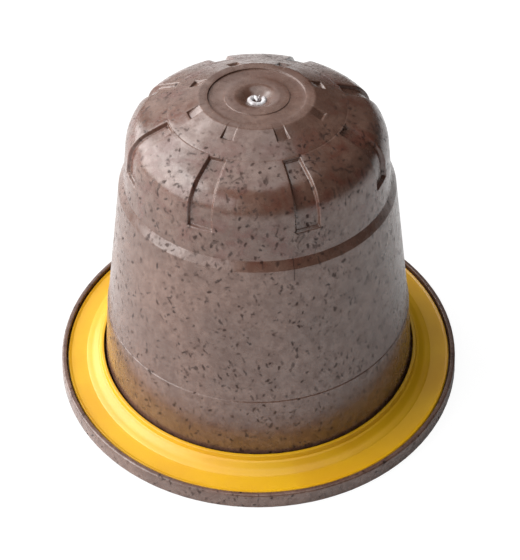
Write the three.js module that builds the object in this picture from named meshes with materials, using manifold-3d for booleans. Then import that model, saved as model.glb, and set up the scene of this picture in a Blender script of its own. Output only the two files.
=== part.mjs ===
// A single-serve coffee pod, standing on its flange with the dome up. Millimetres, +Z up.
// The origin is the centre of the underside, on the axis of the pod.
import * as THREE from 'three';
import { mergeVertices } from 'three/addons/utils/BufferGeometryUtils.js';
import Module from 'manifold-3d';

// The two sizes that have to suit a pod holder
const flangeRadius = 18.55;
const podHeight = 28.56;

// Flange: a flat web with a raised lip round its edge
const flangeWidth = 4.17;
const flangeDraft = 0.14;
const webThickness = 0.72;
const lipHeight = 0.72;
const lipWidth = 0.42;
const lipRound = 0.12;

// Lid membrane, sealed into a shallow recess inside the rim under the flange
const rimWidth = 0.95;
const membraneThickness = 0.15;
const membraneSetback = 0.15;
const membraneClearance = 0.3;

// Seal ring, seated on the web between the body and the lip, from its crest outwards
const ringInnerClearance = 0.2;
const ringOuterClearance = 0.14;
const ringHeel = 0.25;
const ringCrestWidth = 0.16;
const ringStepWidth = 0.45;
const ringStepRise = 0.48;
const ringBevelWidth = 1.04;
const ringBevelRise = 0.47;
const ringBandThickness = 0.37;
const ringRimWidth = 0.3;
const ringRimRise = 0.11;

// Body: a drafted cup with a fine mould line low down and a chamfered ledge on top
const mouldLineHeight = 7.67;
const mouldLineStep = 0.07;
const footDraft = 0.77;
const bodyDraft = 1.99;
const ledgeWidth = 0.47;
const ledgeRise = 0.71;

// Dome: a drafted band, a rounded shoulder, a cone and a flat crown
const bandDraft = 0.68;
const bandRise = 5.14;
const shoulderFillet = 3;
const coneRise = 2.44;
const crownRadius = 4.95;

// Crown: a sunk disc, a slightly raised pad and a dimple where the mould was fed
const crownRimWidth = 1.07;
const discDepth = 0.12;
const discBandWidth = 1.29;
const padRise = 0.06;
const padBandWidth = 0.74;
const dimpleDepth = 0.5;

// Gate stub: the curled bead and the spur that the mould's feed left in the dimple
const beadRadius = 0.6;
const beadThickness = 0.5;
const beadOpening = 70;
const spurHeight = 0.5;
const spurRadius = 0.2;
const stubSink = 0.12;

// Notches round the dome: long ones over the shoulder, short ones at the crown's edge
const notchCount = 8;
const notchTurn = -1.2;
const notchAngle = 10.5;
const notchDepth = 0.35;
const notchWallDraft = 35;
const notchBandRun = 1.22;
const notchConeRun = 1.5;
const stubbyAngle = 9.6;
const stubbyDepth = 0.25;
const stubbyLength = 0.95;

// Fineness of the facets
const turns = 96;
const filletSteps = 6;
const dimpleSteps = 5;
const notchSteps = 3;
const curlSteps = 16;
const stubSides = 8;
const cutterReach = 1;
const weldDistance = 1e-4;

const wasm = await Module();
wasm.setup();

const radians = THREE.MathUtils.degToRad;
const point = (radius, height) => new THREE.Vector2(radius, height);

// Radius of the straight wall between two points of a profile, at a height
function wallRadius(low, high, height) {
  return low.x + ((high.x - low.x) * (height - low.y)) / (high.y - low.y);
}

// A profile of radius and height turned once about the Z axis
function revolve(profile) {
  return new THREE.LatheGeometry(profile, turns).rotateX(Math.PI / 2);
}

// A closed mesh as a solid that can be joined and cut
function solidFrom(geometry) {
  const bare = geometry.clone();
  bare.deleteAttribute('normal');
  bare.deleteAttribute('uv');
  const merged = mergeVertices(bare, weldDistance);
  return new wasm.Manifold(new wasm.Mesh({
    numProp: 3,
    vertProperties: merged.attributes.position.array,
    triVerts: Uint32Array.from(merged.index.array),
  }));
}

function geometryFrom(solid) {
  const mesh = solid.getMesh();
  const geometry = new THREE.BufferGeometry();
  geometry.setAttribute('position', new THREE.BufferAttribute(mesh.vertProperties, 3));
  geometry.setIndex(new THREE.BufferAttribute(mesh.triVerts, 1));
  geometry.computeVertexNormals();
  return geometry;
}

// Corners of the pod's outline, each worked out from the one before it
const webTop = webThickness;
const lipTop = webTop + lipHeight;
const foot = point(flangeRadius - flangeWidth, webTop);
const mouldLineLow = point(foot.x - footDraft, mouldLineHeight - mouldLineStep);
const mouldLineTop = point(mouldLineLow.x - mouldLineStep, mouldLineHeight);
const shoulderHeight = podHeight - coneRise;
const bodyTop = point(mouldLineTop.x - bodyDraft, shoulderHeight - bandRise - ledgeRise);
const domeBase = point(bodyTop.x - ledgeWidth, bodyTop.y + ledgeRise);
const shoulder = point(domeBase.x - bandDraft, shoulderHeight);
const crownEdge = point(crownRadius, podHeight);

// Directions along the dome's band and cone, and outward from them
const bandAlong = shoulder.clone().sub(domeBase).normalize();
const coneAlong = crownEdge.clone().sub(shoulder).normalize();
const bandOut = point(bandAlong.y, -bandAlong.x);
const coneOut = point(coneAlong.y, -coneAlong.x);

// Centre of the shoulder's fillet: one fillet radius inside both the cone and the band
function filletCentre() {
  const inward = coneOut.clone().add(bandOut).normalize();
  const reach = shoulderFillet / inward.dot(bandOut);
  return shoulder.clone().addScaledVector(inward, -reach);
}

// Points over the shoulder from the band to the cone, moved outward by offset
function shoulderArc(offset) {
  const centre = filletCentre();
  const start = Math.atan2(bandOut.y, bandOut.x);
  const sweep = Math.atan2(coneOut.y, coneOut.x) - start;
  return Array.from({ length: filletSteps + 1 }, (_, step) => {
    const angle = start + (sweep * step) / filletSteps;
    const reach = shoulderFillet + offset;
    return point(centre.x + reach * Math.cos(angle), centre.y + reach * Math.sin(angle));
  });
}

// The dimple: a shallow bowl that ends on the axis
function dimplePoints() {
  return Array.from({ length: dimpleSteps + 1 }, (_, step) => {
    const share = 1 - step / dimpleSteps;
    const height = padHeight - (dimpleDepth * (1 + Math.cos(Math.PI * share))) / 2;
    return point(dimpleRadius * share, height);
  });
}

const lipInnerRadius = flangeRadius - flangeDraft - lipWidth;
const recessRadius = flangeRadius - rimWidth;
const recessCeiling = membraneSetback + membraneThickness;
const discRadius = crownRadius - crownRimWidth;
const padRadius = discRadius - discBandWidth;
const dimpleRadius = padRadius - padBandWidth;
const discHeight = podHeight - discDepth;
const padHeight = discHeight + padRise;

function capsuleProfile() {
  return [
    point(0, recessCeiling),
    point(recessRadius, recessCeiling),
    point(recessRadius, 0),
    point(flangeRadius, 0),
    point(flangeRadius - flangeDraft, lipTop - lipRound),
    point(flangeRadius - flangeDraft - lipRound, lipTop),
    point(lipInnerRadius, lipTop),
    point(lipInnerRadius, webTop),
    foot,
    mouldLineLow,
    mouldLineTop,
    bodyTop,
    domeBase,
    ...shoulderArc(0),
    crownEdge,
    point(discRadius, podHeight),
    point(discRadius, discHeight),
    point(padRadius, discHeight),
    point(padRadius, padHeight),
    ...dimplePoints(),
  ];
}

// How far a notch's drafted walls lean outwards at an offset from the dome's surface
const wallLean = (offset) => offset * Math.tan(radians(notchWallDraft));

// A block bent over the dome, centred on -Y: outline gives its long sides at an offset from the
// dome, and its side walls are angle apart at the dome's surface
function bentBlock(outline, depth, angle) {
  const outer = outline(cutterReach);
  const inner = outline(-depth);
  const steps = outer.length - 1;
  const block = new THREE.BoxGeometry(1, 1, 1, notchSteps, steps, 1);
  const place = block.attributes.position;
  for (let i = 0; i < place.count; i += 1) {
    const outside = place.getZ(i) > 0;
    const side = outside ? outer : inner;
    const { x: radius, y: height } = side[Math.round((place.getY(i) + 0.5) * steps)];
    const lean = wallLean(outside ? cutterReach : -depth) / radius;
    const turn = place.getX(i) * (radians(angle) + 2 * lean);
    place.setXYZ(i, radius * Math.sin(turn), -radius * Math.cos(turn), height);
  }
  return solidFrom(block);
}

// Sides of a long notch: they follow the band, the shoulder and the cone
function longNotchSide(offset) {
  const arc = shoulderArc(offset);
  const low = arc[0].clone().addScaledVector(bandAlong, -notchBandRun - wallLean(offset));
  const high = arc[filletSteps].clone().addScaledVector(coneAlong, notchConeRun + wallLean(offset));
  return [low, ...arc, high];
}

// Sides of a short notch: they start at the crown's edge and follow the cone
function shortNotchSide(offset) {
  const inner = crownEdge.clone().addScaledVector(coneOut, offset);
  const run = stubbyLength / coneAlong.x - wallLean(offset);
  return [inner.clone().addScaledVector(coneAlong, run), inner];
}

function notchCutters() {
  const long = bentBlock(longNotchSide, notchDepth, notchAngle);
  const short = bentBlock(shortNotchSide, stubbyDepth, stubbyAngle);
  const cutters = [];
  for (let i = 0; i < notchCount; i += 1) {
    const turn = [0, 0, (360 * (i + 0.5)) / notchCount + notchTurn];
    cutters.push(long.rotate(turn), short.rotate(turn));
  }
  return cutters;
}

// The gate stub: a bead bent into an open curl round a pointed spur
function gateStub() {
  const floor = padHeight - dimpleDepth;
  const sweep = radians(360 - beadOpening);
  const start = radians(90 + beadOpening / 2);
  const middle = floor + beadThickness / 2 - stubSink;
  const curl = new THREE.CatmullRomCurve3(Array.from({ length: curlSteps + 1 }, (_, step) => {
    const angle = start + (sweep * step) / curlSteps;
    return new THREE.Vector3(beadRadius * Math.cos(angle), beadRadius * Math.sin(angle), middle);
  }));
  const section = new THREE.Shape().absarc(0, 0, beadThickness / 2, 0, 2 * Math.PI);
  const sweepAlong = { extrudePath: curl, steps: curlSteps, curveSegments: stubSides };
  const bead = new THREE.ExtrudeGeometry(section, sweepAlong);
  const spur = new THREE.ConeGeometry(spurRadius, spurHeight + stubSink, stubSides).rotateX(Math.PI / 2);
  spur.translate(0, 0, floor + (spurHeight - stubSink) / 2);
  return solidFrom(bead).add(solidFrom(spur));
}

// The body is turned with the notches, so that its facets meet both sides of each one alike
function capsuleGeometry() {
  let body = solidFrom(revolve(capsuleProfile())).rotate([0, 0, notchTurn]);
  notchCutters().forEach((cutter) => {
    body = body.subtract(cutter);
  });
  return geometryFrom(body.add(gateStub()));
}

// The ring's stepped section, seated face to face on the web of the flange
function ringGeometry() {
  const outer = lipInnerRadius - ringOuterClearance;
  const bandTop = webTop + ringBandThickness;
  const bevelTop = bandTop + ringBevelRise;
  const crestTop = bevelTop + ringStepRise;
  const heel = foot.x + ringInnerClearance + ringHeel;
  const crestInner = wallRadius(foot, mouldLineLow, crestTop) + ringInnerClearance;
  const crestOuter = crestInner + ringCrestWidth;
  const bevelInner = crestOuter + ringStepWidth;
  return revolve([
    point(heel, webTop),
    point(outer, webTop),
    point(outer, bandTop + ringRimRise),
    point(outer - ringRimWidth, bandTop),
    point(bevelInner + ringBevelWidth, bandTop),
    point(bevelInner, bevelTop),
    point(crestOuter, crestTop),
    point(crestInner, crestTop),
    point(heel, webTop),
  ]);
}

function membraneGeometry() {
  const membraneRadius = recessRadius - membraneClearance;
  return revolve([
    point(0, membraneSetback),
    point(membraneRadius, membraneSetback),
    point(membraneRadius, recessCeiling),
    point(0, recessCeiling),
  ]);
}

const finishes = {
  moulding: new THREE.MeshStandardMaterial({ color: 0x7d6d64, roughness: 0.42, metalness: 0 }),
  seal: new THREE.MeshStandardMaterial({ color: 0xf2b521, roughness: 0.38, metalness: 0 }),
  film: new THREE.MeshStandardMaterial({ color: 0xd9d2c6, roughness: 0.55, metalness: 0 }),
};

function named(name, geometry, material) {
  const mesh = new THREE.Mesh(geometry, material);
  mesh.name = name;
  return mesh;
}

const pod = new THREE.Group();
pod.add(named('capsule', capsuleGeometry(), finishes.moulding));
pod.add(named('seal_ring', ringGeometry(), finishes.seal));
pod.add(named('lid_membrane', membraneGeometry(), finishes.film));

export default pod;
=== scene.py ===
"""The looks of a coffee pod: a marbled moulding, a yellow seal ring and a lid membrane."""

import math

import bpy
import numpy as np
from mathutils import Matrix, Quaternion, Vector


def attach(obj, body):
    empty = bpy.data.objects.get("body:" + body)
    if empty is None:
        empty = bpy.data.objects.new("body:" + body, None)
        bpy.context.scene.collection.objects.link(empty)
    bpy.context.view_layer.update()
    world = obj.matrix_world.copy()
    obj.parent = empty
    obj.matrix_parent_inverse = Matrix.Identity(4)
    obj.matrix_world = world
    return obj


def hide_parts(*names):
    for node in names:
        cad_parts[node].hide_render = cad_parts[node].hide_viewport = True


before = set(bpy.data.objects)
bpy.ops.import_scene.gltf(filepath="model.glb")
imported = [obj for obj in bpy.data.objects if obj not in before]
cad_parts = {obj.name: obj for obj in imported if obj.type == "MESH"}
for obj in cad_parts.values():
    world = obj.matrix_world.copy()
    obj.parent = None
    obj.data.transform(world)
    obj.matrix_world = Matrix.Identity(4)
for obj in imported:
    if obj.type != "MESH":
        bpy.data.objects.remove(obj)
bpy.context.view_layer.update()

MM = 0.001

# Sizes of the pod in millimetres, and corners as (radius, height). They are those of the CAD source,
# except the crown's radius and the dimple's depth, which are closer to the photo here.
FLANGE_RADIUS = 18.55
LIP_TOP_RADIUS = 18.41
LIP_INNER_RADIUS = 17.99
LIP_TOP = 1.44
WEB_TOP = 0.72
RECESS_RADIUS = 17.6
RECESS_CEILING = 0.3
MEMBRANE_RADIUS = 17.3
MEMBRANE_SETBACK = 0.15
FOOT_RADIUS = 14.38
MOULD_LINE_HEIGHT = 7.67
MOULD_LINE_RADIUS = 13.54
MOULD_LINE_STEP = 0.07
BODY_TOP = (11.55, 20.27)
DOME_BASE = (11.08, 20.98)
SHOULDER = (10.4, 26.12)
SHOULDER_FILLET = 3.0
CROWN_RADIUS = 4.6
POD_HEIGHT = 28.56
DISC_RADIUS = 3.88
DISC_HEIGHT = 28.44
PAD_RADIUS = 2.59
PAD_HEIGHT = 28.5
DIMPLE_RADIUS = 1.85
DIMPLE_DEPTH = 0.65

# How far the small steps round the disc and the pad lean
DISC_EDGE_RUN = 0.03
PAD_EDGE_RUN = 0.02

# Notches, also closer to the photo than in the CAD source, in millimetres and degrees. Their pattern is
# turned by NOTCH_TURN from the half steps of the circle. The long ones' runs are lengths along the
# profile, and the short ones' length is measured level, towards the axis. EDGE_SOFTNESS is the share of
# a wall's run over which each of its edges is rounded.
NOTCH_COUNT = 8
NOTCH_TURN = -1.6
NOTCH_ANGLE = 11.0
NOTCH_DEPTH = 0.3
NOTCH_WALL_DRAFT = 22
NOTCH_BAND_RUN = 1.25
NOTCH_CONE_RUN = 1.7
STUBBY_ANGLE = 10.4
STUBBY_DEPTH = 0.25
STUBBY_LENGTH = 1.1
EDGE_SOFTNESS = 0.42

# Hairline left on the cone by the joint of two mould inserts
INSERT_LINE_RADIUS = 7.15
INSERT_LINE_DEPTH = 0.012
INSERT_LINE_WIDTH = 0.045

# Fineness of the meshes: even turns, close angles on the notches' walls in degrees, lengths along a
# profile in millimetres, and the least angle between two columns of the mesh in radians
BASE_TURNS = 108
WALL_ANGLES = 13
WALL_ANGLE_START = 0.42
WALL_ANGLE_STEP = 0.185
END_STEP = 0.025
END_STEPS = 9
END_STEPS_OUTSIDE = 2
PROFILE_STEP = 0.45
SEARCH_STEP = 0.01
LEAST_STEP = 0.004
LEAST_ANGLE = 0.0015
RING_TURNS = 240
DIMPLE_STEPS = 24
SMALL_FILLET = 0.3
SMALL_FILLET_STEPS = 4
LARGE_FILLET_STEPS = 16
NEARLY_STRAIGHT = math.radians(89.5)


def arc_corner(before, corner, after, radius, steps):
    """Points that round one corner of a profile with an arc."""
    before, corner, after = (np.array(p, float) for p in (before, corner, after))
    inward = (before - corner) / np.linalg.norm(before - corner)
    onward = (after - corner) / np.linalg.norm(after - corner)
    half = math.acos(float(np.clip(inward @ onward, -1, 1))) / 2
    if radius <= 0 or half > NEARLY_STRAIGHT:
        return [corner]
    centre = corner + (inward + onward) / np.linalg.norm(inward + onward) * radius / math.sin(half)
    first = corner + inward * radius / math.tan(half) - centre
    last = corner + onward * radius / math.tan(half) - centre
    sweep = math.pi - 2 * half
    parts = []
    for i in range(steps + 1):
        share = i / steps
        mix = (math.sin((1 - share) * sweep) * first + math.sin(share * sweep) * last) / math.sin(sweep)
        parts.append(centre + mix)
    return parts


def rounded(corners, closed=False):
    """A fine outline from corners given as (radius, height, fillet)."""
    count = len(corners)
    points = []
    for i, (r, z, fillet) in enumerate(corners):
        if not closed and i in (0, count - 1):
            points.append(np.array([r, z], float))
            continue
        before = corners[i - 1][:2]
        after = corners[(i + 1) % count][:2]
        steps = SMALL_FILLET_STEPS if fillet < SMALL_FILLET else LARGE_FILLET_STEPS
        points += arc_corner(before, (r, z), after, fillet, steps)
    if closed:
        points.append(points[0])
    return np.array(points)


def lengths_along(points):
    """Length of the outline up to each of its points."""
    return np.concatenate([[0], np.cumsum(np.linalg.norm(np.diff(points, axis=0), axis=1))])


def resampled(points, step, extra=()):
    """The outline again, with its long stretches divided and extra places along it added."""
    along = lengths_along(points)
    wanted = set(np.round(along, 5)) | {round(float(s), 5) for s in extra}
    for a, b in zip(along[:-1], along[1:]):
        parts = int(math.ceil((b - a) / step))
        wanted |= {round(float(a + (b - a) * i / parts), 5) for i in range(1, parts)}
    places = []
    for s in sorted(wanted):
        if not places or s - places[-1] > LEAST_STEP:
            places.append(s)
    places = np.array(places)
    fine = np.stack([np.interp(places, along, points[:, i]) for i in (0, 1)], axis=1)
    return fine, places


def outward_normals(points):
    """Unit vectors that point out of a profile that runs up the outside."""
    ahead = np.diff(points, axis=0)
    ahead /= np.maximum(np.linalg.norm(ahead, axis=1), 1e-9)[:, None]
    mean = np.concatenate([ahead[:1], ahead[:-1] + ahead[1:], ahead[-1:]])
    mean /= np.maximum(np.linalg.norm(mean, axis=1), 1e-9)[:, None]
    return np.stack([mean[:, 1], -mean[:, 0]], axis=1)


def make_object(name, vertices, faces, material):
    """A smooth object that rides on the pod's body."""
    mesh = bpy.data.meshes.new(name)
    mesh.from_pydata([tuple(v) for v in vertices], [], faces)
    mesh.validate()
    mesh.polygons.foreach_set("use_smooth", [True] * len(mesh.polygons))
    mesh.materials.append(material)
    piece = bpy.data.objects.new(name, mesh)
    bpy.context.scene.collection.objects.link(piece)
    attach(piece, "root")
    return piece


def turned(radii, heights, angles, ends_on_axis):
    """Vertices and faces of a surface of revolution.

    radii and heights are arrays of angle by profile place. Angle 0 is at -Y, the front, and angles
    grow towards +X. A profile either ends on the axis or closes on itself.
    """
    turns, places = radii.shape
    inner = slice(1, places - 1) if ends_on_axis else slice(0, places - 1)
    r = radii[:, inner]
    z = heights[:, inner]
    x = r * np.sin(angles)[:, None]
    y = -r * np.cos(angles)[:, None]
    vertices = np.stack([x, y, z], axis=-1).reshape(-1, 3) * MM
    columns = r.shape[1]
    faces = []
    last = columns - 1 if ends_on_axis else columns
    for i in range(turns):
        a = i * columns
        b = ((i + 1) % turns) * columns
        for j in range(last):
            k = (j + 1) % columns
            faces.append((a + j, b + j, b + k, a + k))
    if ends_on_axis:
        low = len(vertices)
        ends = np.array([[0, 0, heights[0, 0]], [0, 0, heights[0, -1]]]) * MM
        vertices = np.concatenate([vertices, ends])
        for i in range(turns):
            a = i * columns
            b = ((i + 1) % turns) * columns
            faces.append((low, b, a))
            faces.append((low + 1, a + columns - 1, b + columns - 1))
    return vertices, faces


def turned_evenly(outline, ends_on_axis):
    """A plain surface of revolution of one profile, in even turns."""
    angles = np.arange(RING_TURNS) * 2 * math.pi / RING_TURNS
    radii = np.tile(outline[:, 0], (RING_TURNS, 1))
    heights = np.tile(outline[:, 1], (RING_TURNS, 1))
    return turned(radii, heights, angles, ends_on_axis)


def notch_centres():
    """Angles of the middles of the notches, long and short alike."""
    return [math.radians(360 * (i + 0.5) / NOTCH_COUNT + NOTCH_TURN) for i in range(NOTCH_COUNT)]


def soft_floor(value):
    """The value held above 0, with a rounded bend in place of the corner."""
    k = EDGE_SOFTNESS
    return np.where(value < -k, 0, np.where(value > k, value, (value + k) ** 2 / (4 * k)))


def soft_step(value):
    """The value held between 0 and 1, with both bends rounded."""
    return 1 - soft_floor(1 - soft_floor(value))


def capsule_angles():
    """Angles of the mesh: even ones all round, with close ones on the notches' side walls."""
    angles = {round(2 * math.pi * i / BASE_TURNS, 6) for i in range(BASE_TURNS)}
    for centre in notch_centres():
        for side in (-1, 1):
            for k in range(WALL_ANGLES):
                half = NOTCH_ANGLE / 2 + WALL_ANGLE_START - k * WALL_ANGLE_STEP
                angles.add(round((centre + side * math.radians(half)) % (2 * math.pi), 6))
    kept = []
    for a in sorted(angles):
        if not kept or a - kept[-1] > LEAST_ANGLE:
            kept.append(a)
    return np.array(kept)


def notch_cut(angles, radii, along, width, depth, low, high, high_run):
    """How deep a pattern of notches goes at each angle and place along the profile."""
    run = depth * math.tan(math.radians(NOTCH_WALL_DRAFT))
    ends = np.minimum((along - low) / run, (high - along) / high_run)
    cut = np.zeros((len(angles), len(along)))
    for centre in notch_centres():
        off = np.abs((angles - centre + math.pi) % (2 * math.pi) - math.pi)
        inside = (math.radians(width) / 2 - off)[:, None] * radii[None, :] / run
        cut = np.maximum(cut, depth * soft_step(np.minimum(inside, ends[None, :])))
    return cut


def capsule_outline():
    """The moulding's profile, from the middle of its underside to the middle of the dimple."""
    low_radius = MOULD_LINE_RADIUS + MOULD_LINE_STEP
    corners = [
        (0, RECESS_CEILING, 0),
        (RECESS_RADIUS, RECESS_CEILING, 0.05),
        (RECESS_RADIUS, 0, 0.08),
        (FLANGE_RADIUS, 0, 0.12),
        (LIP_TOP_RADIUS, LIP_TOP, 0.17),
        (LIP_INNER_RADIUS, LIP_TOP, 0.07),
        (LIP_INNER_RADIUS, WEB_TOP, 0.06),
        (FOOT_RADIUS, WEB_TOP, 0.12),
        (low_radius, MOULD_LINE_HEIGHT - MOULD_LINE_STEP, 0.03),
        (MOULD_LINE_RADIUS, MOULD_LINE_HEIGHT, 0.03),
        (*BODY_TOP, 0.14),
        (*DOME_BASE, 0.08),
        (*SHOULDER, SHOULDER_FILLET),
        (CROWN_RADIUS, POD_HEIGHT, 0.5),
        (DISC_RADIUS, POD_HEIGHT, 0.035),
        (DISC_RADIUS - DISC_EDGE_RUN, DISC_HEIGHT, 0.035),
        (PAD_RADIUS + PAD_EDGE_RUN, DISC_HEIGHT, 0.025),
        (PAD_RADIUS, PAD_HEIGHT, 0.025),
    ]
    outline = rounded(corners + [(DIMPLE_RADIUS, PAD_HEIGHT, 0)])
    bowl = []
    for i in range(1, DIMPLE_STEPS + 1):
        share = 1 - i / DIMPLE_STEPS
        sunk = DIMPLE_DEPTH * (1 + math.cos(math.pi * share)) / 2
        bowl.append((DIMPLE_RADIUS * share, PAD_HEIGHT - sunk))
    return np.concatenate([outline, np.array(bowl)])


def place_of(outline, point):
    """Length along the outline of the place on it that is nearest to a point."""
    fine, along = resampled(outline, SEARCH_STEP)
    return along[int(np.argmin(np.linalg.norm(fine - np.array(point), axis=1)))]


def build_capsule(material):
    """The moulding: its profile turned round the axis and pressed in along its normals at the notches."""
    outline = capsule_outline()
    crown_edge = (CROWN_RADIUS, POD_HEIGHT)
    bend = arc_corner(DOME_BASE, SHOULDER, crown_edge, SHOULDER_FILLET, 1)
    notch_low = place_of(outline, bend[0]) - NOTCH_BAND_RUN
    notch_top = place_of(outline, bend[1]) + NOTCH_CONE_RUN
    stubby_top = place_of(outline, crown_edge)
    cone_slope = (SHOULDER[0] - CROWN_RADIUS) / math.dist(SHOULDER, crown_edge)
    stubby_low = stubby_top - STUBBY_LENGTH / cone_slope
    insert = stubby_top - (INSERT_LINE_RADIUS - CROWN_RADIUS) / cone_slope
    extra = []
    for end, inward in ((notch_low, 1), (notch_top, -1), (stubby_low, 1), (stubby_top, -1)):
        extra += [end + inward * END_STEP * k for k in range(-END_STEPS_OUTSIDE, END_STEPS)]
    extra += [insert + INSERT_LINE_WIDTH * k for k in (-2, -1, 0, 1, 2)]
    fine, along = resampled(outline, PROFILE_STEP, extra)
    normals = outward_normals(fine)
    angles = capsule_angles()
    radii = fine[:, 0]
    run = NOTCH_DEPTH * math.tan(math.radians(NOTCH_WALL_DRAFT))
    long_cut = notch_cut(angles, radii, along, NOTCH_ANGLE, NOTCH_DEPTH, notch_low, notch_top, run)
    short_cut = notch_cut(angles, radii, along, STUBBY_ANGLE, STUBBY_DEPTH, stubby_low, stubby_top,
                          stubby_top - stubby_low)
    groove = INSERT_LINE_DEPTH * np.exp(-((along - insert) / INSERT_LINE_WIDTH) ** 2)
    depth = np.maximum(long_cut, short_cut) + groove[None, :]
    vertices, faces = turned(radii[None, :] - normals[None, :, 0] * depth,
                             fine[None, :, 1] - normals[None, :, 1] * depth, angles, True)
    piece = make_object("capsule_moulding", vertices, faces, material)
    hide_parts("capsule")
    return piece


def wall_at(height):
    """Radius of the cup's lower wall at a height."""
    low_radius = MOULD_LINE_RADIUS + MOULD_LINE_STEP
    share = (height - WEB_TOP) / (MOULD_LINE_HEIGHT - MOULD_LINE_STEP - WEB_TOP)
    return FOOT_RADIUS + (low_radius - FOOT_RADIUS) * share


# The seal ring's section in millimetres, from its crest outwards: tops are heights
RING_CREST = 2.04
RING_BEVEL_TOP = 1.56
RING_BAND_TOP = 1.09
RING_RIM_TOP = 1.2
RING_STEP_END = 0.61
RING_BEVEL_WIDTH = 1.04
RING_RIM_WIDTH = 0.3
RING_INNER_CLEARANCE = 0.2
RING_OUTER_CLEARANCE = 0.14
RING_HEEL = 0.25
RING_CREST_TOP_WIDTH = 0.3
RING_CREST_FALL = 0.02
RING_RISER_SETBACK = 0.2
RING_RISER_FOOT = 0.06
RING_CREASE_WIDTH = 0.05
RING_CREASE_RISE = 0.03
RING_COVE_OUT = 0.5
RING_COVE_RISE = 0.15
RING_COVE_FILLET = 1.1
RING_RIM_CHAMFER = 0.1


def build_ring(material):
    """The seal ring: crest, riser, curved bevel, flat band and raised rim."""
    inner = wall_at(RING_CREST) + RING_INNER_CLEARANCE
    outer = LIP_INNER_RADIUS - RING_OUTER_CLEARANCE
    step = inner + RING_STEP_END
    crease = step + RING_BEVEL_WIDTH
    corners = [
        (FOOT_RADIUS + RING_INNER_CLEARANCE + RING_HEEL, WEB_TOP, 0.05),
        (outer, WEB_TOP, 0.05),
        (outer, RING_RIM_TOP - RING_RIM_CHAMFER, 0.03),
        (outer - RING_RIM_CHAMFER, RING_RIM_TOP, 0.04),
        (outer - RING_RIM_WIDTH, RING_BAND_TOP, 0.12),
        (crease + RING_CREASE_WIDTH, RING_BAND_TOP, 0.015),
        (crease, RING_BAND_TOP + RING_CREASE_RISE, 0.02),
        (step + RING_COVE_OUT, RING_BAND_TOP + RING_COVE_RISE, RING_COVE_FILLET),
        (step, RING_BEVEL_TOP, 0.14),
        (step - RING_RISER_SETBACK, RING_BEVEL_TOP + RING_RISER_FOOT, 0.08),
        (inner + RING_CREST_TOP_WIDTH, RING_CREST - RING_CREST_FALL, 0.06),
        (inner, RING_CREST, 0.06),
    ]
    outline, _ = resampled(rounded(corners, closed=True), PROFILE_STEP)
    vertices, faces = turned_evenly(outline, False)
    piece = make_object("seal_ring_gloss", vertices, faces, material)
    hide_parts("seal_ring")
    return piece


# The film's slack over the cup's mouth
FILM_MOUTH_SETBACK = 0.6
FILM_SLACK = 0.09
FILM_SLACK_PART_WAY = 0.07
FILM_PART_WAY = 0.6
FILM_STEP = 1.2


def build_membrane(material):
    """The film, pulled flat over the flange and slightly slack over the cup's mouth."""
    mouth = FOOT_RADIUS - FILM_MOUTH_SETBACK
    corners = [
        (0, MEMBRANE_SETBACK - FILM_SLACK, 0),
        (mouth * FILM_PART_WAY, MEMBRANE_SETBACK - FILM_SLACK_PART_WAY, 3),
        (mouth, MEMBRANE_SETBACK, 0.6),
        (MEMBRANE_RADIUS, MEMBRANE_SETBACK, 0.04),
        (MEMBRANE_RADIUS, RECESS_CEILING, 0.03),
        (0, RECESS_CEILING, 0),
    ]
    outline, _ = resampled(rounded(corners), FILM_STEP)
    vertices, faces = turned_evenly(outline, True)
    piece = make_object("lid_film", vertices, faces, material)
    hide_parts("lid_membrane")
    return piece


def tube(path, radii, sides):
    """A closed tube along points, with a radius for each point."""
    path = np.array(path, float)
    vertices = []
    upwards = np.array([0.0, 0.0, 1.0])
    for i, here in enumerate(path):
        ahead = path[min(i + 1, len(path) - 1)] - path[max(i - 1, 0)]
        ahead /= np.linalg.norm(ahead)
        across = np.cross(ahead, upwards)
        across /= np.linalg.norm(across)
        up = np.cross(across, ahead)
        for k in range(sides):
            turn = 2 * math.pi * k / sides
            vertices.append(here + radii[i] * (across * math.cos(turn) + up * math.sin(turn)))
    faces = []
    for i in range(len(path) - 1):
        for k in range(sides):
            m = (k + 1) % sides
            faces.append((i * sides + k, i * sides + m, (i + 1) * sides + m, (i + 1) * sides + k))
    faces.append(tuple(reversed(range(sides))))
    faces.append(tuple((len(path) - 1) * sides + k for k in range(sides)))
    return np.array(vertices), faces


# The stub that the mould's gate left: a curl of plastic that ends in its own middle, and a spur.
# Lengths are in millimetres, angles in degrees from +X, and heights are above the dimple's floor.
BEAD_RADIUS = 0.57
BEAD_THICKNESS = 0.44
BEAD_START = 48
BEAD_SWEEP = 292
BEAD_HEIGHT = 0.16
BEAD_WAVE = 0.03
BEAD_STEPS = 44
TAIL_BEND = (0.22, 0.02, 0.06)
TAIL_END = (0.03, -0.10)
TAIL_HEIGHT = 0.24
TAIL_STEPS = 12
TAIL_SHARE = 0.28
TAIL_THINNING = 0.45
ROUND_START_SHARE = 0.07
ROUND_END_SHARE = 0.05
LEAST_THICKNESS_SHARE = 0.12
SPUR_FOOT = (0.04, 0.12)
SPUR_LEAN = (0.2, 0.22)
SPUR_HEIGHT = 0.5
SPUR_RADIUS = 0.16
SPUR_TIP_RADIUS = 0.015
SPUR_TAPER = 0.9
SPUR_STEPS = 16
STUB_SIDES = 20
DIMPLE_FLOOR = PAD_HEIGHT - DIMPLE_DEPTH


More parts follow.
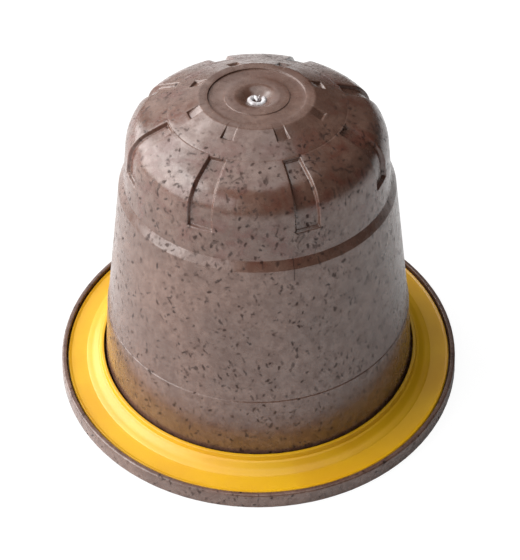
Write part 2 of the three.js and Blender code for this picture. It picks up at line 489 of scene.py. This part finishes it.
def curl_path():
    """Round clockwise from the right, seen from above, then in to the middle."""
    path = []
    for i in range(BEAD_STEPS + 1):
        angle = math.radians(BEAD_START - BEAD_SWEEP * i / BEAD_STEPS)
        height = DIMPLE_FLOOR + BEAD_HEIGHT + BEAD_WAVE * math.sin(2 * angle)
        path.append((BEAD_RADIUS * math.cos(angle), BEAD_RADIUS * math.sin(angle), height))
    last = path[-1]
    bend = tuple(place + push for place, push in zip(last, TAIL_BEND))
    tail_end = (*TAIL_END, DIMPLE_FLOOR + TAIL_HEIGHT)
    for i in range(1, TAIL_STEPS + 1):
        share = i / TAIL_STEPS
        parts = [(1 - share) ** 2, 2 * share * (1 - share), share ** 2]
        ends = (last, bend, tail_end)
        path.append(tuple(sum(k * end[axis] for k, end in zip(parts, ends)) for axis in range(3)))
    return path


def curl_radii(count):
    """The curl's radius at each of its points: round at both ends, and slimmer along its tail."""
    radii = []
    for i in range(count):
        share = i / (count - 1)
        end = min(share / ROUND_START_SHARE, (1 - share) / ROUND_END_SHARE, 1)
        round_end = math.sqrt(1 - (1 - end) ** 2)
        slimmer = 1 - TAIL_THINNING * max(0.0, (share - 1 + TAIL_SHARE) / TAIL_SHARE)
        radii.append(BEAD_THICKNESS / 2 * max(LEAST_THICKNESS_SHARE, round_end) * slimmer)
    return radii


def spur_path_and_radii():
    """A leaning spike that thins to its tip."""
    path = []
    radii = []
    for i in range(SPUR_STEPS + 1):
        share = i / SPUR_STEPS
        x = SPUR_FOOT[0] + SPUR_LEAN[0] * share
        y = SPUR_FOOT[1] + SPUR_LEAN[1] * share
        path.append((x, y, DIMPLE_FLOOR + SPUR_HEIGHT * share))
        radii.append(SPUR_RADIUS * (1 - share) ** SPUR_TAPER + SPUR_TIP_RADIUS)
    return path, radii


def build_gate_stub(material):
    """The curl and the spur, which are part of the moulding."""
    path = curl_path()
    vertices, faces = tube(path, curl_radii(len(path)), STUB_SIDES)
    bead = make_object("gate_bead", vertices * MM, faces, material)
    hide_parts("capsule")
    path, radii = spur_path_and_radii()
    vertices, faces = tube(path, radii, STUB_SIDES)
    spur = make_object("gate_spur", vertices * MM, faces, material)
    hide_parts("capsule")


class Nodes:
    """A short way to write a material's node tree."""

    def __init__(self, name):
        self.material = bpy.data.materials.new(name)
        self.material.use_nodes = True
        self.tree = self.material.node_tree
        self.shader = self.tree.nodes["Principled BSDF"]

    def add(self, kind, **settings):
        """A new node of a kind, with its settings."""
        node = self.tree.nodes.new(kind)
        for key, value in settings.items():
            setattr(node, key, value)
        return node

    def link(self, source, target):
        """A link from an output to an input."""
        self.tree.links.new(source, target)

    def math(self, operation, a, b=None):
        """One sum of two values, each a number or a socket."""
        node = self.add("ShaderNodeMath", operation=operation)
        for socket, value in zip(node.inputs, (a, b)):
            if value is None:
                continue
            if isinstance(value, (int, float)):
                socket.default_value = value
            else:
                self.link(value, socket)
        return node.outputs[0]

    def millimetres(self):
        """Position on the object in millimetres."""
        place = self.add("ShaderNodeTexCoord").outputs["Object"]
        scale = self.add("ShaderNodeVectorMath", operation="SCALE")
        scale.inputs["Scale"].default_value = 1 / MM
        self.link(place, scale.inputs[0])
        return scale.outputs[0]

    def noise(self, place, scale, detail, rough, shift=(0, 0, 0), warp=0.0):
        """Soft noise from 0 to 1, scale being its waves per millimetre."""
        mapping = self.add("ShaderNodeMapping")
        mapping.inputs["Location"].default_value = shift
        self.link(place, mapping.inputs["Vector"])
        node = self.add("ShaderNodeTexNoise")
        node.inputs["Scale"].default_value = scale
        node.inputs["Detail"].default_value = detail
        node.inputs["Roughness"].default_value = rough
        node.inputs["Distortion"].default_value = warp
        self.link(mapping.outputs[0], node.inputs["Vector"])
        return node.outputs["Fac"]

    def spread(self, value, low, high, to_low=0.0, to_high=1.0):
        """A value stretched so that low and high become to_low and to_high, with soft ends."""
        node = self.add("ShaderNodeMapRange", interpolation_type="SMOOTHSTEP")
        node.inputs["From Min"].default_value = low
        node.inputs["From Max"].default_value = high
        node.inputs["To Min"].default_value = to_low
        node.inputs["To Max"].default_value = to_high
        self.link(value, node.inputs["Value"])
        return node.outputs[0]

    def mix(self, share, first, second):
        """The first colour, with a share of the second."""
        node = self.add("ShaderNodeMix", data_type="RGBA")
        for key, value in ((0, share), (6, first), (7, second)):
            if isinstance(value, (tuple, float, int)):
                node.inputs[key].default_value = value
            else:
                self.link(value, node.inputs[key])
        return node.outputs[2]

    def wobbled(self, place, scale, reach):
        """The place pushed about by a noise, to bend what is drawn with it."""
        wobble = self.add("ShaderNodeTexNoise")
        wobble.inputs["Scale"].default_value = scale
        wobble.inputs["Detail"].default_value = 2
        self.link(place, wobble.inputs["Vector"])
        push = self.add("ShaderNodeVectorMath", operation="MULTIPLY_ADD")
        push.inputs[1].default_value = (reach, reach, reach)
        self.link(wobble.outputs["Color"], push.inputs[0])
        self.link(place, push.inputs[2])
        return push.outputs[0]

    def stroke(self, place, angle, low, high):
        """A fine upright line on the front: 1 on the line, 0 beside it."""
        axes = self.add("ShaderNodeSeparateXYZ")
        self.link(place, axes.inputs[0])
        across = self.math("ADD", self.math("MULTIPLY", axes.outputs[0], math.cos(math.radians(angle))),
                           self.math("MULTIPLY", axes.outputs[1], math.sin(math.radians(angle))))
        line = self.spread(self.math("ABSOLUTE", across), SCRATCH_WIDTH, 0.0)
        rise = self.spread(axes.outputs[2], low - SCRATCH_WIDTH, low + SCRATCH_WIDTH)
        fall = self.spread(axes.outputs[2], high + SCRATCH_WIDTH, high - SCRATCH_WIDTH)
        front = self.spread(axes.outputs[1], 0.0, -1.0)
        return self.math("MULTIPLY", self.math("MULTIPLY", line, front), self.math("MULTIPLY", rise, fall))

    def bump(self, height, strength, reach):
        """Bends the shader's normal by a height, reach being what 1 stands for in millimetres."""
        node = self.add("ShaderNodeBump")
        node.inputs["Strength"].default_value = strength
        node.inputs["Distance"].default_value = MM * reach
        self.link(height, node.inputs["Height"])
        self.link(node.outputs[0], self.shader.inputs["Normal"])

    def flecks(self, place, length, width, turn, shift, keep):
        """Thin blobs that lie along one direction: 1 on a fleck, 0 beside it."""
        turned_place = self.add("ShaderNodeVectorRotate", rotation_type="EULER_XYZ")
        turned_place.inputs["Rotation"].default_value = tuple(math.radians(a) for a in turn)
        self.link(place, turned_place.inputs["Vector"])
        mapping = self.add("ShaderNodeMapping")
        mapping.inputs["Location"].default_value = shift
        mapping.inputs["Scale"].default_value = (1 / length, 1 / width, 1 / width)
        self.link(turned_place.outputs[0], mapping.inputs["Vector"])
        cells = self.add("ShaderNodeTexVoronoi")
        cells.inputs["Scale"].default_value = 1
        self.link(mapping.outputs[0], cells.inputs["Vector"])
        blob = self.spread(cells.outputs["Distance"], FLECK_SIZE, FLECK_SIZE * FLECK_CORE)
        split = self.add("ShaderNodeSeparateColor")
        self.link(cells.outputs["Color"], split.inputs[0])
        chosen = self.spread(split.outputs[0], keep, 0.0)
        return self.math("MULTIPLY", blob, chosen)


def srgb(red, green, blue):
    """A colour as written for a screen, 0 to 255, in the shader's own terms."""
    def channel(value):
        value /= 255
        return value / 12.92 if value <= 0.04045 else ((value + 0.055) / 1.055) ** 2.4
    return (channel(red), channel(green), channel(blue), 1)


# Scratches: angle from the front in degrees, then lowest and highest height in millimetres
SCRATCHES = (
    (2.0, 20.44, 21.04),
    (14.0, 19.23, 21.22),
)
SCRATCH_WIDTH = 0.06

# Flecks: the size of one in its cell, the share of it that is fully dark, and the waves per millimetre
# and the reach of what bends them. Then for each layer the length and width of a cell in millimetres, its
# turn in degrees, its shift in cells and the share of cells that show.
FLECK_SIZE = 0.36
FLECK_CORE = 0.4
FLECK_BEND_WAVES = 1.7
FLECK_BEND_REACH = 0.6
FLECK_LAYERS = (
    (1.45, 0.46, (12, 78, 25), (0.3, 0.1, 0.7), 0.55),
    (1.25, 0.42, (70, -65, -40), (4.3, 2.1, 1.7), 0.51),
    (1.15, 0.40, (-38, 60, 10), (7.3, 5.1, 3.7), 0.46),
    (0.70, 0.50, (15, 40, 5), (2.2, 8.8, 4.4), 0.35),
)

# Colours of the moulding, and the shares in which they lie over one another
CLOUD_DARK = srgb(98, 71, 59)
CLOUD_LIGHT = srgb(116, 87, 74)
MOTTLE = srgb(86, 60, 50)
STAIN = srgb(94, 50, 38)
FLECK = srgb(42, 26, 21)
MOTTLE_SHARE = 0.6
STAIN_SHARE = 0.65
BLOT_SHARE = 0.8
FLECK_SHARE = 0.85

# Heights in millimetres between which the dome and the crown begin, and what the crown is spared
DOME_START = (20.0, 21.5)
CROWN_START = (27.7, 28.3)
CROWN_STAIN_LOSS = 0.8
CROWN_FLECK_LOSS = 0.75

# Gloss of the moulding, what a fleck takes from it, and heights of its relief in millimetres
MOULDING_IOR = 1.7
MOULDING_ROUGHNESS = (0.2, 0.32)
FLECK_ROUGHNESS = 0.2
SHEEN_CLEAR = 0.59
SHEEN_MOTTLED = 0.44
FLECK_SHEEN_LOSS = 0.35
WAVE_RELIEF = 0.06
MOTTLE_RELIEF = 0.008
FLECK_RELIEF = 0.012
RELIEF_STRENGTH = 0.26


def dark_marks(n, place, dome, crown):
    """Flecks, blots and scratches: 1 on a mark, 0 beside it."""
    bent = n.wobbled(place, FLECK_BEND_WAVES, FLECK_BEND_REACH)
    dark = None
    for length, width, turn, shift, keep in FLECK_LAYERS:
        layer = n.flecks(bent, length, width, turn, shift, keep)
        dark = layer if dark is None else n.math("MAXIMUM", dark, layer)
    blot_noise = n.noise(place, scale=1.15, detail=3, rough=0.6, shift=(8, 3, 2), warp=0.8)
    blots = n.math("MULTIPLY", n.spread(blot_noise, 0.60, 0.70), dome)
    dark = n.math("MAXIMUM", dark, n.math("MULTIPLY", blots, BLOT_SHARE))
    dark = n.math("MULTIPLY", dark, n.math("SUBTRACT", 1.0, n.math("MULTIPLY", crown, CROWN_FLECK_LOSS)))
    for angle, low_end, high_end in SCRATCHES:
        dark = n.math("MAXIMUM", dark, n.stroke(place, angle, low_end, high_end))
    return dark


def moulding_material():
    """Glossy dark brown plastic, clouded, with darker flecks that are duller than the rest."""
    n = Nodes("marbled_moulding")
    place = n.millimetres()
    axes = n.add("ShaderNodeSeparateXYZ")
    n.link(place, axes.inputs[0])
    dome = n.spread(axes.outputs[2], *DOME_START)
    crown = n.spread(axes.outputs[2], *CROWN_START)
    cloud = n.spread(n.noise(place, scale=0.22, detail=4, rough=0.6), 0.34, 0.66)
    mottle_noise = n.noise(place, scale=1.3, detail=4, rough=0.65, shift=(3, 7, 1), warp=0.4)
    mottle = n.spread(mottle_noise, 0.32, 0.68)
    stain_noise = n.noise(place, scale=0.5, detail=4, rough=0.65, shift=(1, 5, 8), warp=0.6)
    off_crown = n.math("SUBTRACT", 1.0, n.math("MULTIPLY", crown, CROWN_STAIN_LOSS))
    stain = n.math("MULTIPLY", n.math("MULTIPLY", dome, n.spread(stain_noise, 0.44, 0.66)), off_crown)
    dark = dark_marks(n, place, dome, crown)
    colour = n.mix(cloud, CLOUD_DARK, CLOUD_LIGHT)
    colour = n.mix(n.math("MULTIPLY", mottle, MOTTLE_SHARE), colour, MOTTLE)
    colour = n.mix(n.math("MULTIPLY", stain, STAIN_SHARE), colour, STAIN)
    colour = n.mix(n.math("MULTIPLY", dark, FLECK_SHARE), colour, FLECK)
    n.link(colour, n.shader.inputs["Base Color"])
    rough_noise = n.noise(place, scale=1.1, detail=4, rough=0.6, shift=(5, 5, 2))
    rough = n.spread(rough_noise, 0.3, 0.7, *MOULDING_ROUGHNESS)
    rough = n.math("ADD", rough, n.math("MULTIPLY", dark, FLECK_ROUGHNESS))
    n.link(rough, n.shader.inputs["Roughness"])
    n.shader.inputs["IOR"].default_value = MOULDING_IOR
    sheen = n.spread(mottle, 0.0, 1.0, SHEEN_CLEAR, SHEEN_MOTTLED)
    sheen = n.math("SUBTRACT", sheen, n.math("MULTIPLY", dark, FLECK_SHEEN_LOSS))
    n.link(sheen, n.shader.inputs["Specular IOR Level"])
    waves = n.noise(place, scale=0.6, detail=2, rough=0.5, shift=(2, 3, 9))
    mottle_relief = n.math("MULTIPLY", mottle, MOTTLE_RELIEF)
    relief = n.math("ADD", n.math("MULTIPLY", waves, WAVE_RELIEF), mottle_relief)
    relief = n.math("SUBTRACT", relief, n.math("MULTIPLY", dark, FLECK_RELIEF))
    n.bump(relief, RELIEF_STRENGTH, 1.0)
    return n.material


# The seal ring's colours and gloss
GOLD_DEEP = srgb(221, 164, 4)
GOLD_LIGHT = srgb(228, 175, 8)
GOLD_GRAIN = srgb(214, 154, 2)
GRAIN_SHARE = 0.12
SEAL_IOR = 1.64
SEAL_ROUGHNESS = (0.36, 0.44)


def seal_material():
    """Satin golden yellow, very slightly grained and wavy."""
    n = Nodes("golden_seal")
    place = n.millimetres()
    tone = n.spread(n.noise(place, scale=0.22, detail=3, rough=0.5), 0.35, 0.65)
    grain = n.spread(n.noise(place, scale=5, detail=3, rough=0.6, shift=(3, 3, 3)), 0.3, 0.7)
    colour = n.mix(tone, GOLD_DEEP, GOLD_LIGHT)
    colour = n.mix(n.math("MULTIPLY", grain, GRAIN_SHARE), colour, GOLD_GRAIN)
    n.link(colour, n.shader.inputs["Base Color"])
    n.shader.inputs["IOR"].default_value = SEAL_IOR
    n.link(n.spread(grain, 0, 1, *SEAL_ROUGHNESS), n.shader.inputs["Roughness"])
    n.bump(n.noise(place, scale=0.9, detail=3, rough=0.5, shift=(4, 4, 1)), strength=0.25, reach=0.02)
    return n.material


# The film's colours and dullness
FILM_PALE = srgb(222, 214, 200)
FILM_FIBRE = srgb(206, 196, 180)
FILM_ROUGHNESS = (0.5, 0.62)


def film_material():
    """Dull pale film with fine fibres."""
    n = Nodes("sealing_film")
    place = n.millimetres()
    fibre = n.spread(n.noise(place, scale=1.6, detail=5, rough=0.7, warp=0.5), 0.3, 0.7)
    n.link(n.mix(fibre, FILM_PALE, FILM_FIBRE), n.shader.inputs["Base Color"])
    n.link(n.spread(fibre, 0, 1, *FILM_ROUGHNESS), n.shader.inputs["Roughness"])
    n.bump(fibre, strength=0.3, reach=0.03)
    return n.material


# The gate stub's colours and gloss
STUB_GREY = srgb(176, 168, 168)
STUB_WHITE = srgb(226, 224, 226)
STUB_ROUGHNESS = (0.16, 0.26)


def stub_material():
    """Plastic that whitened where it was torn off."""
    n = Nodes("whitened_plastic")
    patch = n.spread(n.noise(n.millimetres(), scale=1.6, detail=3, rough=0.6), 0.38, 0.62)
    n.link(n.mix(patch, STUB_GREY, STUB_WHITE), n.shader.inputs["Base Color"])
    n.link(n.spread(patch, 0, 1, *STUB_ROUGHNESS), n.shader.inputs["Roughness"])
    return n.material


# The floor glows for the camera: in part round the pod, where it shows the shadow, and fully farther
# out. Reaches are distances from the pod in millimetres.
FLOOR_TONE = (0.92, 0.92, 0.92, 1)
FLOOR_ROUGHNESS = 0.8
FLOOR_SPECULAR = 0.2
FLOOR_GLOW = 1.09
FLOOR_GLOW_SHARE = 0.86
FLOOR_SHADOW_REACH = 90.0
FLOOR_WHITE_REACH = 200.0
FLOOR_HALF_WIDTH = 1.5


def floor_material():
    """A pale floor whose shadow shows faintly, and which is white behind the pod."""
    n = Nodes("pale_floor")
    n.shader.inputs["Base Color"].default_value = FLOOR_TONE
    n.shader.inputs["Roughness"].default_value = FLOOR_ROUGHNESS
    n.shader.inputs["Specular IOR Level"].default_value = FLOOR_SPECULAR
    glow = n.add("ShaderNodeEmission")
    glow.inputs["Strength"].default_value = FLOOR_GLOW
    blend = n.add("ShaderNodeMixShader")
    seen = n.add("ShaderNodeLightPath").outputs["Is Camera Ray"]
    distance = n.add("ShaderNodeVectorMath", operation="LENGTH")
    n.link(n.millimetres(), distance.inputs[0])
    share = n.spread(distance.outputs["Value"], FLOOR_SHADOW_REACH, FLOOR_WHITE_REACH,
                     FLOOR_GLOW_SHARE, 1.0)
    n.link(n.math("MULTIPLY", seen, share), blend.inputs[0])
    n.link(n.shader.outputs[0], blend.inputs[1])
    n.link(glow.outputs[0], blend.inputs[2])
    n.link(blend.outputs[0], n.tree.nodes["Material Output"].inputs["Surface"])
    return n.material


def build_floor():
    """A large square round the origin, at the height of the pod's underside."""
    mesh = bpy.data.meshes.new("floor")
    w = FLOOR_HALF_WIDTH
    mesh.from_pydata([(-w, -w, 0), (w, -w, 0), (w, w, 0), (-w, w, 0)], [], [(0, 1, 2, 3)])
    mesh.materials.append(floor_material())
    floor = bpy.data.objects.new("floor", mesh)
    bpy.context.scene.collection.objects.link(floor)


def softbox(name, place, target, size, brightness):
    """A flat lamp that faces a target and looks equally bright all over."""
    data = bpy.data.lights.new(name, "AREA")
    data.shape = "RECTANGLE"
    data.size, data.size_y = size
    data.energy = brightness * math.pi * size[0] * size[1]
    lamp = bpy.data.objects.new(name, data)
    lamp.location = place
    lamp.rotation_mode = "QUATERNION"
    lamp.rotation_quaternion = (Vector(target) - Vector(place)).to_track_quat("-Z", "Y")
    bpy.context.scene.collection.objects.link(lamp)


# Lamps: name, place, point that it faces, width and height, and brightness, with lengths in metres
SOFTBOXES = (
    ("left_window", (-0.40, 0.09, 0.375), (0, 0.09, 0.375), (0.74, 0.65), 5.1),
    ("left_fill", (-0.24, -0.34, 0.24), (0, 0, 0.10), (0.26, 0.30), 2.2),
    ("back_left_fill", (-0.14, 0.46, 0.26), (0, 0, 0.05), (0.26, 0.40), 1.1),
    ("back_fill", (0.12, 0.40, 0.44), (0, 0, 0), (0.30, 0.30), 0.3),
    ("ceiling", (-0.12, 0.05, 0.60), (0, 0, 0), (0.44, 0.60), 1.7),
)
AMBIENT = 0.02


def build_lights():
    """The lamps, and a world that the camera sees as white and all else as almost dark."""
    world = bpy.data.worlds.new("studio")
    bpy.context.scene.world = world
    world.use_nodes = True
    nodes = world.node_tree.nodes
    links = world.node_tree.links
    path = nodes.new("ShaderNodeLightPath")
    mix = nodes.new("ShaderNodeMix")
    mix.data_type = "RGBA"
    mix.inputs[6].default_value = (AMBIENT, AMBIENT, AMBIENT, 1)
    mix.inputs[7].default_value = (1, 1, 1, 1)
    links.new(path.outputs["Is Camera Ray"], mix.inputs[0])
    links.new(mix.outputs[2], nodes["Background"].inputs["Color"])
    for settings in SOFTBOXES:
        softbox(*settings)


# The photograph's height in pixels, and its camera, which looks down on the pod from the front.
# The pitch is in degrees below level and the roll in radians.
FRAME_HEIGHT = 560
FOCAL_PIXELS = 1154.08
SENSOR = 36.0
CAMERA_PLACE = (0.000172, -0.07604, 0.07964)
CAMERA_PITCH = 42.995
CAMERA_ROLL = -0.005


def build_camera():
    """The photo's camera."""
    data = bpy.data.cameras.new("camera")
    data.sensor_width = SENSOR
    data.lens = FOCAL_PIXELS * SENSOR / FRAME_HEIGHT
    data.clip_start = 0.005
    data.clip_end = 20
    camera = bpy.data.objects.new("camera", data)
    camera.location = CAMERA_PLACE
    camera.rotation_mode = "QUATERNION"
    tilt = Quaternion((1, 0, 0), math.radians(90 - CAMERA_PITCH))
    camera.rotation_quaternion = tilt @ Quaternion((0, 0, 1), CAMERA_ROLL)
    bpy.context.scene.collection.objects.link(camera)
    bpy.context.scene.camera = camera


build_camera()
build_floor()
build_lights()
build_capsule(moulding_material())
build_gate_stub(stub_material())
build_ring(seal_material())
build_membrane(film_material())
bpy.context.scene.view_settings.view_transform = "Standard"
